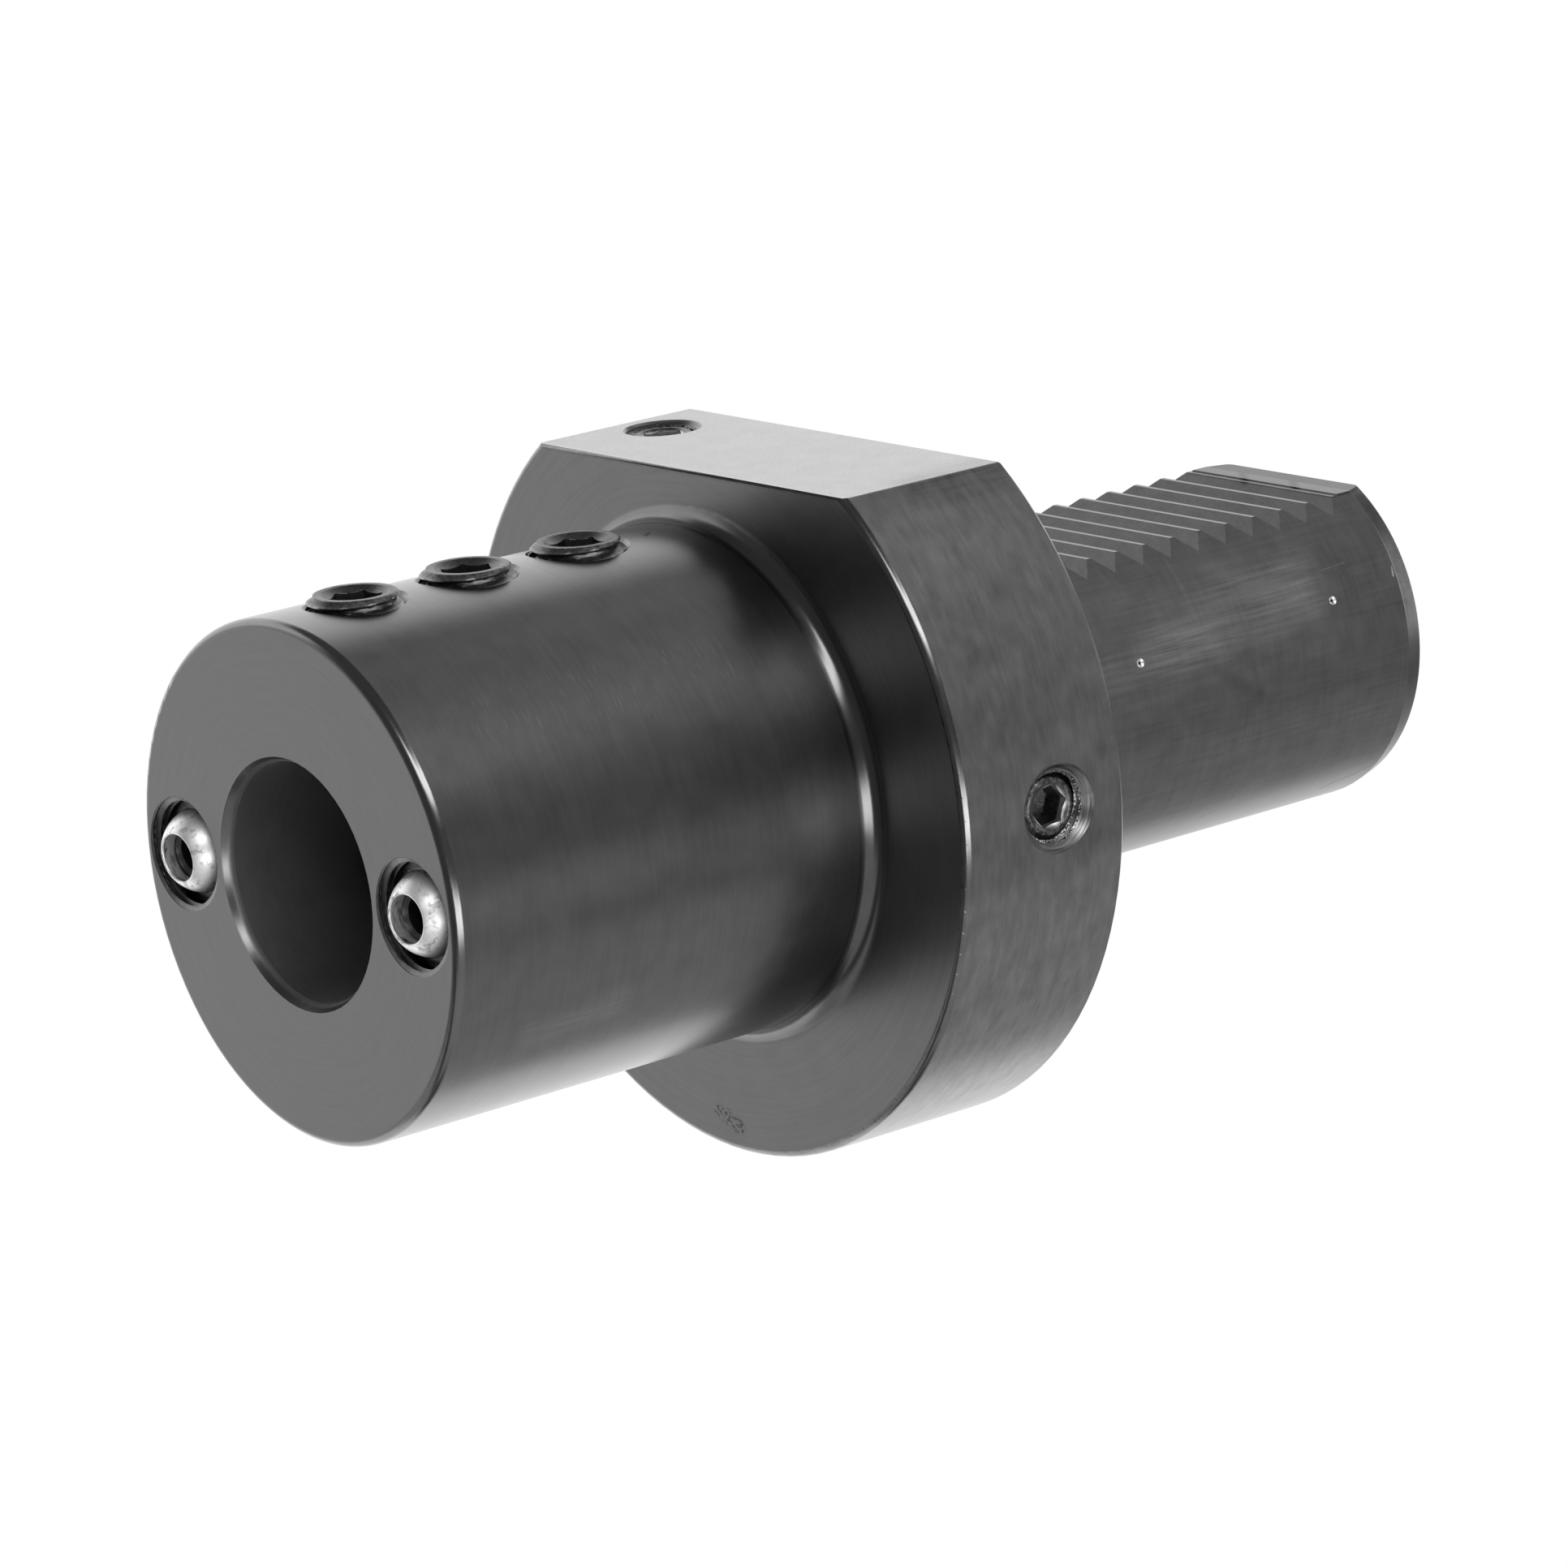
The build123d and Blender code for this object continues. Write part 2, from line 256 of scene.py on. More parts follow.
def make_world():
    """White for the camera, and the painted studio for everything else."""
    world = bpy.data.worlds.new("studio")
    tree = new_tree(world)
    direction = start(tree, "ShaderNodeTexCoord", "Generated")
    light = STUDIO_FILL
    for settings in PANELS.values():
        light = panel(direction, *settings).math("MAXIMUM", light)
    seen = start(tree, "ShaderNodeLightPath", "Is Camera Ray")
    inputs = {"Color": (1, 1, 1, 1), "Strength": seen.mix(light, 1.0)}
    show(light.node("ShaderNodeBackground", inputs), "ShaderNodeOutputWorld")
    bpy.context.scene.world = world


make_world()
print("studio with", len(PANELS), "panels")

# %% [markdown]
# ## The floor
# The holder is shown on a seamless white ground. The floor is a large plane just under the flange.
# Only the camera sees it: the light that a real floor would throw up is already in the studio. A
# shadow catcher could hold a soft shadow, but the photograph shows none.

# %% Floor
FLOOR_HALF_WIDTH = 3.0
FLOOR_GAP = 0.0005


def new_object(name, points, faces):
    """A smooth mesh object from an array of points and an array or list of faces."""
    mesh = bpy.data.meshes.new(name)
    points = np.asarray(points, float).reshape(-1, 3)
    mesh.from_pydata(points.tolist(), [], [list(face) for face in faces])
    mesh.polygons.foreach_set("use_smooth", np.ones(len(mesh.polygons), bool))
    mesh.update()
    made = bpy.data.objects.new(name, mesh)
    bpy.context.scene.collection.objects.link(made)
    return made


def make_floor():
    """A white plane that can be looked through from below."""
    height = cad_low.z - FLOOR_GAP
    corners = np.array([(-1, -1), (1, -1), (1, 1), (-1, 1)]) * FLOOR_HALF_WIDTH
    floor = new_object("floor", np.column_stack([corners, np.full(4, height)]), [(0, 1, 2, 3)])
    floor.visible_diffuse = floor.visible_glossy = False
    floor.visible_transmission = floor.visible_shadow = False
    material = bpy.data.materials.new("white_ground")
    tree = new_tree(material)
    below = start(tree, "ShaderNodeNewGeometry", "Backfacing")
    white = below.node("ShaderNodeEmission", {"Color": (1, 1, 1, 1), "Strength": 1.0})
    clear = below.node("ShaderNodeBsdfTransparent", {})
    show(below.node("ShaderNodeMixShader", {0: below, 1: white, 2: clear}))
    floor.data.materials.append(material)


make_floor()
print("floor at mm:", round((cad_low.z - FLOOR_GAP) * 1000, 1))

# %% [markdown]
# ## Steel
# Every finish here but the seals' is a metal, and a metal is one Principled shader: its colour is
# how much it reflects, its roughness how much it blurs, and its bump the marks of the tool that cut
# it. The marks of turning are a thousandth of a millimetre or two deep, so the heights are written
# in thousandths. Deeper ones would tear the reflections along the rounded edges. A picture of
# scratched metal could give the marks too, but it has one size and an end, and a formula has none.


# %% A metal from signals
MM_PER_METRE = 1000.0
THOUSANDTH_OF_MM = 1e-6


def metal(name, build, edge_tint=1.0, metallic=1.0):
    """A metallic material. build gets the place in mm and returns the grey, the roughness and the
    height of the tool marks in thousandths of a millimetre. Every metal turns bright where it is
    seen along its surface, and an edge tint below 1 holds that back, as an oxide film does. A dull
    skin scatters part of the light, which is metallic below 1."""
    material = bpy.data.materials.new(name)
    tree = new_tree(material)
    place = start(tree, "ShaderNodeTexCoord", "Object")
    scaled = {0: place, "Scale": MM_PER_METRE}
    place = place.node("ShaderNodeVectorMath", scaled, operation="SCALE")
    grey, roughness, height = build(place)
    bump = {"Height": height, "Distance": THOUSANDTH_OF_MM, "Strength": 1.0}
    normal = height.node("ShaderNodeBump", bump)
    inputs = {
        "Base Color": as_colour(grey),
        "Metallic": metallic,
        "Roughness": roughness,
        "Specular Tint": (edge_tint, edge_tint, edge_tint, 1),
        "Normal": normal,
    }
    show(height.node("ShaderNodeBsdfPrincipled", inputs))
    return material


def dress(name, material):
    """Gives a CAD node its material."""
    mesh = nodes[name].data
    mesh.materials.clear()
    mesh.materials.append(material)


# %% Strokes, and patterns that go round an axis
def stroke(place, first, last, half_width, soft):
    """1 near the line from one point to another. The nearest point of the line is at the share of
    its run that the offset's dot product with the run gives, kept between 0 and 1."""
    run = np.subtract(last, first)
    offset = place.node("ShaderNodeVectorMath", {0: place, 1: first}, operation="SUBTRACT")
    inputs = {0: offset, 1: tuple(run / (run @ run))}
    share = place.node("ShaderNodeVectorMath", inputs, output="Value", operation="DOT_PRODUCT")
    inputs = {0: tuple(run), "Scale": share.math("ADD", 0.0, clamp=True)}
    nearest = place.node("ShaderNodeVectorMath", inputs, operation="SCALE")
    inputs = {0: offset, 1: nearest}
    away = place.node("ShaderNodeVectorMath", inputs, output="Value", operation="DISTANCE")
    return away.below(half_width, soft)


def from_axis(u, v):
    """The distance from an axis."""
    return (u * u + v * v).math("SQRT")


def ring_lines(along, u, v, per_mm, per_turn, detail=3.0):
    """Lines that run round an axis, about -0.3 to 0.3: a noise that is fine along the profile and
    long round the axis, read on a circle so that it has no seam. per_mm is how fast it changes
    along the profile, and per_turn is the circle's radius, so how fast it changes around."""
    away = from_axis(u, v)
    where = vector(along * per_mm, u / away * per_turn, v / away * per_turn)
    return noise(where, 1.0, detail) - 0.5


print("patterns ready")

# %% [markdown]
# ## The body's finishes
# The body is one piece of dark oxidised steel, but each surface was cut another way. The nose, the
# flange and the shank were turned, so their lines go round. The flat was milled and bare steel
# shows there. The shank was ground after that and wiped along its length, which left a paler
# streaky band. One material does it all, with a mask for each surface, because a mesh from CAD has
# no seams to split it at. The greys were found by matching the tone of each surface in the
# photograph.

# %% Where each finish is
GREY = {
    "nose": 0.156, "face": 0.136, "flange": 0.127, "rim": 0.2,
    "shank": 0.142, "flat": 0.36, "fillet": 0.13, "bore": 0.15, "edges": 0.18,
}
ROUGHNESS = {
    "nose": 0.29, "face": 0.38, "flange": 0.37, "rim": 0.32,
    "shank": 0.36, "flat": 0.37, "fillet": 0.2, "bore": 0.8, "edges": 0.2,
}
LAND_TONE, LEAD_TONE = -0.5, -0.5
FACE_X, FLANGE_X, FLAT_Z, TOOTH_CREST_Z, BAR_BORE_RADIUS = -75.0, -22.0, 32.6, 16.1, 12.5
# Where the land behind the teeth and the shank's lead begin, how far in the bore is dark, and the
# radius that the nose's and the flange's bright edges lie outside.
LAND_X, LEAD_X, DARK_X, EDGES_RADIUS = 57.0, 60.4, 30.5, 24.5


def by_zone(masks, values):
    """The first value, replaced zone by zone where each mask is 1."""
    names = list(values)
    result = masks[names[1]].mix(values[names[0]], values[names[1]])
    for name in names[2:]:
        result = masks[name].mix(result, values[name])
    return result


def body_masks(x, z, radius):
    """1 on each surface and 0 elsewhere. What no mask takes is the nose's side."""
    return {
        "face": x.below(FACE_X + 0.1, 0.1),
        "flange": x.rise(FLANGE_X - 0.12, FLANGE_X - 0.02),
        "rim": x.band(FLANGE_X + 0.05, -1.0, 0.08),
        "shank": x.rise(0.0, 0.1),
        "flat": z.rise(FLAT_Z - 0.1, FLAT_Z - 0.02),
        "land": x.rise(LAND_X, LAND_X + 0.4) * z.rise(TOOTH_CREST_Z - 0.2, TOOTH_CREST_Z),
        "lead": x.rise(LEAD_X, LEAD_X + 0.4) * radius.rise(14.0, 15.0) * z.rise(0.0, 6.0),
        "fillet": x.band(FLANGE_X - 2.0, FLANGE_X - 0.07, 0.1),
        "bore": radius.below(BAR_BORE_RADIUS + 0.225, 0.35) * x.below(DARK_X, 1.0),
        "edges": radius.rise(EDGES_RADIUS, EDGES_RADIUS + 0.5)
        * (
            x.band(FACE_X + 0.07, FACE_X + 0.95, 0.08)
            + x.band(FLANGE_X + 0.02, FLANGE_X + 0.8, 0.08)
        ),
    }


print(len(GREY), "zones on the body")

# %% [markdown]
# ## Marks of use
# The holder has been handled and wiped, so it has paler bands, smears, small nicks and a stain, and
# a hardness test has left two dents in the shank. Each dent's bright edge is a painted highlight and
# its dark point is painted shade. The dark of the notch by the rear screw is painted shade too. An
# image could hold them, but it would blur from near. Here each is a short stroke in space, so one
# line of a table, and as sharp from near as from far. The countersink around the side plug shows
# bare cut steel, and is a mark of the same kind.

# %% Marks of use
# Each mark is a line between two points in mm, its half width, its softness and its change of tone.
MARKS = {
    "pale band, flange end": ((15.0, -19.3, 5.0), (32.0, -19.2, 5.6), 2.0, 1.8, 0.2),
    "pale band, middle": ((26.0, -18.9, 6.4), (46.5, -18.2, 8.3), 2.8, 5.0, 0.36),
    "pale band, teeth side": ((36.0, -16.5, 11.3), (47.0, -16.5, 11.3), 1.6, 4.5, 0.2),
    "smear, upper arm": ((36.9, -19.6, 4.1), (38.6, -19.9, -1.2), 0.45, 1.0, -0.12),
    "smear, lower arm": ((30.8, -19.6, 4.0), (38.6, -19.9, -1.6), 0.6, 1.2, -0.14),
    "wiped end": ((55.5, -18.6, 7.4), (59.0, -18.6, 7.4), 5.5, 6.0, -0.2),
    "step in the grinding": ((31.1, -13.7, 14.6), (31.2, -16.3, 11.6), 0.12, 0.3, 0.12),
    "its lower half": ((31.2, -16.3, 11.6), (31.4, -18.3, 8.0), 0.12, 0.3, 0.12),
    "dark nick low on the shank": ((53.9, -11.6, -16.3), (57.0, -12.6, -15.5), 0.25, 0.4, -0.4),
    "second nick": ((57.5, -12.6, -15.5), (60.0, -13.7, -14.6), 0.2, 0.4, -0.4),
    "fine scratch": ((50.5, -17.4, 9.9), (54.0, -17.3, 10.1), 0.05, 0.12, 0.9),
    "bright nick": ((60.1, -18.5, 7.6), (60.3, -18.2, 8.6), 0.12, 0.2, 2.5),
    "smudge on the land": ((61.0, 6.2, 16.2), (57.5, 2.0, 16.2), 0.35, 0.9, -0.5),
    "smudge beside it": ((61.6, -1.2, 16.2), (58.3, -5.4, 16.2), 0.35, 0.9, -0.5),
    "wiped patch low on the nose": ((-64.0, -23.6, -13.6), (-54.0, -23.8, -13.2), 1.6, 3.0, 0.22),
    # This small notch's dark tone is painted shade inside it.
    "painted shade of the notch by the rear screw": ((-28.9, -1.5, 27.2), (-28.0, -0.8, 27.2), 0.2, 0.16, -0.95),
    "edge of the flat": ((-21.9, -25.0, 32.45), (-21.9, 25.0, 32.45), 0.3, 0.2, -0.15),
    "worn corner of the flat": ((-3.0, -25.0, 32.6), (-12.0, -25.5, 32.6), 3.0, 5.0, -0.2),
}
MARK_STREAKS = 3.5
# A stain of dots on the flange, and scuffs on the nose, each within a stroke.
STAIN = ((-22.0, 2.8, -37.4), (-22.0, -0.6, -38.7), 0.9, 0.8)
STAIN_CHANGE = -0.6
SCUFFS = ((-65.0, -20.6, 17.8), (-37.0, -20.4, 18.1), 4.0, 4.0)
# Each dent's place along the shank, and its angle up from the -Y side in degrees.
DENTS = {"near the flange": (22.1, 16.3), "near the end": (50.6, 19.6)}
SHANK_RADIUS = 20.0
DENT_EDGE, DENT_CENTRE, DENT_DEPTH = 0.48, 0.2, 0.4
# A dent's bright edge is a painted highlight, and its dark point is painted shade in the pit.
DENT_EDGE_PAINTED_HIGHLIGHT, DENT_CENTRE_PAINTED_SHADE = 0.6, 0.02


def add_dents(place, grey):
    """A hardness test leaves a pressed cone. Its edge is painted bright as a painted highlight, and
    its point dark as painted shade in the pit. Both follow the line from the surface down the cone's
    axis."""
    for x, angle in DENTS.values():
        turn = math.radians(angle)
        outward = np.array([0.0, -math.cos(turn), math.sin(turn)])
        mouth = (x, *(outward * SHANK_RADIUS)[1:])
        point = (x, *(outward * (SHANK_RADIUS - DENT_DEPTH))[1:])
        grey = stroke(place, mouth, point, DENT_EDGE, 0.1).mix(grey, DENT_EDGE_PAINTED_HIGHLIGHT)
        grey = stroke(place, mouth, point, DENT_CENTRE, 0.12).mix(grey, DENT_CENTRE_PAINTED_SHADE)
    return grey


print(len(MARKS), "marks and", len(DENTS), "dents")

# %% The mouth of the side plug's hole
PLUG_X = -9.4
MOUTH_EDGE, MOUTH_Y = 4.72, -38.15
CUT_GREY, CUT_ROUGHNESS, CUT_CONTRAST = 0.17, 0.33, 3.5
DARKEST = 0.02


def cutter_rings(away, u, v):
    """The tone of a countersink: bare cut steel with the cutter's fine rings in it."""
    return CUT_GREY * (1 + ring_lines(away, u, v, 7.0, 1.6) * CUT_CONTRAST)


def add_mouth(x, y, z, grey, roughness):
    """The countersink around the side plug shows the cutter's rings."""
    away = from_axis(x - PLUG_X, z)
    inside = away.below(MOUTH_EDGE, 0.1) * y.below(MOUTH_Y, 0.3)
    cut = cutter_rings(away, x - PLUG_X, z).math("MAXIMUM", DARKEST)
    return inside.mix(grey, cut), inside.mix(roughness, CUT_ROUGHNESS)


print("countersink of radius", MOUTH_EDGE)

# %% [markdown]
# ## The clamp screws' holes
# The clamp screws run in tapped holes through the nose's crown. Their thread shows in the gap
# beside a screw's head, and on the wall above a screw that is turned in. It could be cut like the
# plugs' threads further down. But here the screws slide without turning, and a cut thread would run
# through theirs, so this one is drawn on the smooth wall with bump, and with painted light: a
# painted highlight on its crests and painted shade in its roots.

# %% The clamp screws' holes
CLAMP_COUNT, CLAMP_SPACING, CLAMP_FIRST_X, CLAMP_TOP_Z = 3, 14.05, -64.7, 28.15
CLAMP_PITCH, CLAMP_RADIUS = 1.5, 5.0
HOLE_WALL = 0.12
# Painted shade darkens the thread's roots, and a painted highlight lightens its crests.
ROOT_PAINTED_SHADE, CREST_PAINTED_HIGHLIGHT, CREST_HEIGHT = 0.35, 1.5, 450.0


def clamp_local(x, y, z):
    """Across and along the nearest clamp screw. They are evenly spaced, so one saw wave of x serves
    all three."""
    half = CLAMP_SPACING / 2
    return (x - CLAMP_FIRST_X + half).math("MODULO", CLAMP_SPACING) - half, y, z - CLAMP_TOP_Z


def add_tapped_holes(x, y, z, grey, height):
    """The thread's wave climbs a pitch per turn: the turns are depth / pitch less the angle over a
    full turn, and the wave is how far their fraction is from a half. It is high on its crests, with
    a painted highlight there, and painted shade lies in its roots."""
    u, v, depth = clamp_local(x, y, z)
    last = CLAMP_FIRST_X + (CLAMP_COUNT - 1) * CLAMP_SPACING
    inside = from_axis(u, v).below(CLAMP_RADIUS + HOLE_WALL, 0.08)
    inside = inside * x.band(CLAMP_FIRST_X - 6.0, last + 6.0, 0.3)
    inside = inside * z.rise(BAR_BORE_RADIUS, BAR_BORE_RADIUS + 0.5)
    turns = depth / CLAMP_PITCH - v.math("ARCTAN2", u) / (2 * math.pi)
    wave = abs(turns.math("FRACT") - 0.5) * 2
    # The thread's painted light: shade in the roots, a highlight on the crests.
    painted_thread_light = grey * wave.mix(ROOT_PAINTED_SHADE, CREST_PAINTED_HIGHLIGHT)
    return inside.mix(grey, painted_thread_light), inside.mix(height, wave * CREST_HEIGHT)


print(CLAMP_COUNT, "tapped holes, from x =", CLAMP_FIRST_X, "mm")

# %% [markdown]
# ## The body's steel
# What the tools left is a handful of noises, each stretched along the way that its tool went. A
# zone's grain is a mix of them, given as a table, and the marks of use come on top. The lines could
# be cut in the mesh, but they are far finer than its faces, so they are tone and a slight bump.

# %% The tools' lines
GRAIN = {
    "nose": {"turning": 0.25, "mottle": 0.3, "scuffs": 0.22},
    "face": {"turning": 0.18, "mottle": 0.12},
    "flange": {"turning": 0.28, "mottle": 0.2},
    "rim": {"turning": 0.3, "strokes": 0.65, "mottle": 0.5},
    "shank": {"turning": 0.3, "grinding": 0.38, "mottle": 0.45},
    "flat": {"scratches": 0.25, "mottle": 0.4},
}
RADIUS_SHARE = 1.37


def tool_lines(place, x, y, z, radius):
    """What each tool left, about -0.3 to 0.3. The turned lines follow x plus a share of the radius,
    so that they go on over the faces, where x stands still."""
    along = x + radius * RADIUS_SHARE
    dashes = ring_lines(along, y, z, 4.0, 12.0, 2.0).rise(0.08, 0.2)
    return {
        "turning": ring_lines(along, y, z, 2.4, 4.0),
        "strokes": ring_lines(along, y, z, 1.1, 16.0, 4.0),
        "scuffs": dashes * stroke(place, *SCUFFS),
        "mottle": noise(place, 0.35, 4.0) - 0.5,
        "grinding": noise(vector(x * 0.12, y * 2.4, z * 2.4), 1.0, 4.0) - 0.5,
        "scratches": noise(vector((x + y) * 0.22, (x - y) * 2.6, 0.0), 1.0, 4.0) - 0.5,
    }


def grain_by_zone(masks, lines):
    """Each zone's mix of lines, as the table gives it."""
    grain = {
        zone: sum(lines[name] * share for name, share in shares.items())
        for zone, shares in GRAIN.items()
    }
    return by_zone(masks, grain)


print("grain for", ", ".join(GRAIN))

# %% The body's steel
LINE_HEIGHT = 1.5
ROUGHNESS_MOTTLE = 0.05


def body_finish(place):
    """Dark turned steel, with a milled flat, a ground shank and a dark bore."""
    x, y, z = split(place)
    radius = from_axis(y, z)
    masks = body_masks(x, z, radius)
    lines = tool_lines(place, x, y, z, radius)
    tone = 1 + grain_by_zone(masks, lines)
    tone = tone + masks["land"] * LAND_TONE + masks["lead"] * LEAD_TONE
    streaks = 1 + lines["grinding"] * MARK_STREAKS
    for first, last, half_width, soft, change in MARKS.values():
        tone = tone + stroke(place, first, last, half_width, soft) * streaks * change
    dots = noise(place, 2.6, 3.0).rise(0.5, 0.58)
    tone = tone + stroke(place, *STAIN) * dots * STAIN_CHANGE
    grey = add_dents(place, by_zone(masks, GREY) * tone.math("MAXIMUM", 0.05))
    roughness = by_zone(masks, ROUGHNESS) + lines["mottle"] * ROUGHNESS_MOTTLE
    grey, roughness = add_mouth(x, y, z, grey, roughness)
    height = (1 - masks["flat"]) * lines["turning"] + masks["shank"] * lines["grinding"]
    grey, height = add_tapped_holes(x, y, z, grey, height * LINE_HEIGHT)
    return grey, roughness, height


steel_body = metal("dark_turned_steel", body_finish)
print("body finished with", len(steel_body.node_tree.nodes), "nodes")

# %% [markdown]
# ## The small parts' metals
# Screws are oxidised black, but a thread rubs, so the clamp screws' crests are worn to grey. The
# plugs' crests are a little darker than the rest. The balls were polished and then handled, so they
# are bright with a cloudy patch. The rings around them are painted near black, as the shade of the
# recess they sit in. One plain metal each would miss all this, so each finish depends on how far a
# place is from its own part's axis.

# %% Screws
SIDE_PLUG_Y, TOP_PLUG_Y, TOP_PLUG_Z = -40.1, 20.0, 32.1
SCREW_EDGE_TINT = 0.8
CLAMP_FINISH = {
    "radius": CLAMP_RADIUS, "grey": 0.12, "grit": 1.8, "crest_wear": 0.16, "edge_wear": 0.02,
    "socket_radius": 2.9, "socket_depth": 4.0, "wall_grey_and_painted_light": 0.14,
}
# A plug's socket walls are pale grey: bare broached steel with painted light on it.
PLUG_FINISH = {
    "radius": 4.0, "grey": 0.11, "grit": 3.0, "crest_wear": -0.04, "edge_wear": -0.02,
    "socket_radius": 2.35, "socket_depth": 1.0, "wall_grey_and_painted_light": 0.8,
}


def screw_finish(local, finish):
    """Oxidised screw steel. local gives two distances across the screw's axis and one along it,
    which is 0 on the top face. Wear makes the crests and the face's edge paler, or darker where it
    is below
    0. Down to a depth, the socket's walls are bare steel where the broach has cut them, and on the
    plugs their pale grey is also painted light, as a facet of the socket catches it. Grit is how
    strongly the film mottles."""
    radius, socket_radius = finish["radius"], finish["socket_radius"]

    def build(place):
        x, y, z = split(place)
        u, v, height = local(x, y, z)
        away = from_axis(u, v)
        grain = noise(place, 2.2, 5.0, 0.65) - 0.5
        turning = ring_lines(height + away * 1.3, u, v, 5.0, 1.5)
        crest = away.rise(radius - 0.45, radius - 0.02)
        edge = height.rise(-0.5, -0.02) * away.rise(radius - 1.7, radius - 0.9)
        worn = crest * (finish["crest_wear"] + grain * 0.5)
        worn = worn + edge * (finish["edge_wear"] + grain * 0.3)
        wall = away.below(socket_radius + 0.05, 0.1)
        wall = wall * height.band(-finish["socket_depth"], -0.25, 0.3)
        grey = finish["grey"] * (1 + grain * finish["grit"] + turning * 0.8) + worn
        # The socket's walls take their own grey, which on the plugs is pale with painted light.
        grey = wall.mix(grey, finish["wall_grey_and_painted_light"] * (1 + grain)).math("MAXIMUM", DARKEST)
        return grey, 0.36 + grain * 0.14, turning * 6.0 + grain * 5.0

    return build


def side_plug_local(x, y, z):
    """Across and along the side plug."""
    return x - PLUG_X, z, SIDE_PLUG_Y - y


def top_plug_local(x, y, z):
    """Across and along the top plug."""
    return x - PLUG_X, y - TOP_PLUG_Y, z - TOP_PLUG_Z


black_steel = metal("black_screw_steel", screw_finish(clamp_local, CLAMP_FINISH), SCREW_EDGE_TINT)
side_plug_steel = metal("side_plug_steel", screw_finish(side_plug_local, PLUG_FINISH))
top_plug_steel = metal("top_plug_steel", screw_finish(top_plug_local, PLUG_FINISH))
print("screw metals made")

# %% Nozzles
BALL_X, BALL_RADIUS, CHANNEL_OFFSET, STEP_X = -72.4, 4.5, 20.0, -74.4
# Past the step, the hole's wall is painted near black, as the shade deep in the hole.
DEEP_PAINTED_SHADE_GREY = 0.05


def ball_finish(place):
    """Steel that was polished and then dulled by handling, with a cloudy patch outside. Inside the
    hole, nearer the ball's centre than its surface, are the drill's bands, and past the step the
    bore is painted near black: painted shade deep in the hole."""
    x, y, z = split(place)
    side = abs(y) - CHANNEL_OFFSET
    away = from_axis(from_axis(x - BALL_X, side), z)
    outside = away.rise(BALL_RADIUS - 0.25, BALL_RADIUS - 0.1)
    deep = x.rise(STEP_X - 0.35, STEP_X) * (1 - outside)
    cloud = noise(place, 0.75, 6.0, 0.7) - 0.5
    bands = ring_lines(x, side, z, 1.8, 1.4)
    inner = (1.15 + bands * 4.5 + cloud).math("MAXIMUM", 0.15)
    outer = 1.05 + cloud * 0.8 - cloud.rise(0.01, 0.11) * 0.55
    grey = deep.mix((0.9 * outside.mix(inner, outer)).math("MINIMUM", 1.0), DEEP_PAINTED_SHADE_GREY)
    return grey, outside.mix(0.4, 0.45) + cloud * 0.2, bands * 6.0 + cloud * 16.0


def ring_finish(place):
    """Steel with the rings of turning on its face, painted near black as the shade of its recess."""
    x, y, z = split(place)
    side = abs(y) - CHANNEL_OFFSET
    lines = ring_lines(from_axis(side, z) + x, side, z, 4.0, 2.2)
    scuffs = noise(place, 1.4, 5.0, 0.65) - 0.5
    # The ring's near-black grey is painted shade of the recess that it sits in.
    grey = (0.045 * (1 + lines * 5.0 + scuffs * 3.0)).math("MAXIMUM", 0.01)
    return grey, 0.34 + scuffs * 0.2, lines * 8.0


def thread_finish(place):
    """Cut steel in a tapped hole: the tool's lines follow the thread."""
    x, y, z = split(place)
    side = abs(y) - CHANNEL_OFFSET
    lines = ring_lines(x, side, z, 7.0, 1.2)
    stain = noise(place, 1.1, 4.0) - 0.5
    return 0.14 * (1 + lines * 1.5 + stain * 1.2), 0.34 + stain * 0.2, lines * 6.0


polished_steel = metal("polished_ball_steel", ball_finish, metallic=0.85)
ring_steel = metal("ring_steel_painted_shade", ring_finish)
thread_steel = metal("cut_thread_steel", thread_finish)
for side in ("right", "left"):
    dress(f"nozzle_ring_{side}", ring_steel)
print("nozzle metals made")

# %% The plugs' countersinks
TAP_EDGE = 3.5


def seat_finish(local):
    """The lower half of a plug's countersink. The cutter's rings go on, and the inner edge is
    ragged where the tap came through, with bright and dark specks. Inside it is the thread, at half
    the tone, which is painted shade down in the hole."""

    def build(place):
        u, v, _ = local(*split(place))
        away = from_axis(u, v)
        specks = noise(place, 5.5, 2.0) - 0.5
        ragged = away.band(TAP_EDGE - 0.03, TAP_EDGE + 0.3, 0.12)
        # Inside the tap's edge the tone is halved, as painted shade in the hole.
        grey = cutter_rings(away, u, v) * away.rise(TAP_EDGE - 0.1, TAP_EDGE).mix(0.5, 1.0)
        grey = (grey + ragged * specks * 1.8).math("MAXIMUM", DARKEST)
        return grey, CUT_ROUGHNESS + specks * 0.1, specks * ragged * 30.0

    return build


side_seat_steel = metal("side_seat_steel", seat_finish(side_plug_local))
top_seat_steel = metal("top_seat_steel", seat_finish(top_plug_local))
print("countersink metals made")

# %% [markdown]
# ## Rubber
# One seal lies in the shank's groove and one behind each ball. Moulded rubber is matte and nearly
# black. One flat black would do from afar and look unfinished from near, so a fine noise gives it
# grain, and a coarse one the grey bloom of old rubber.


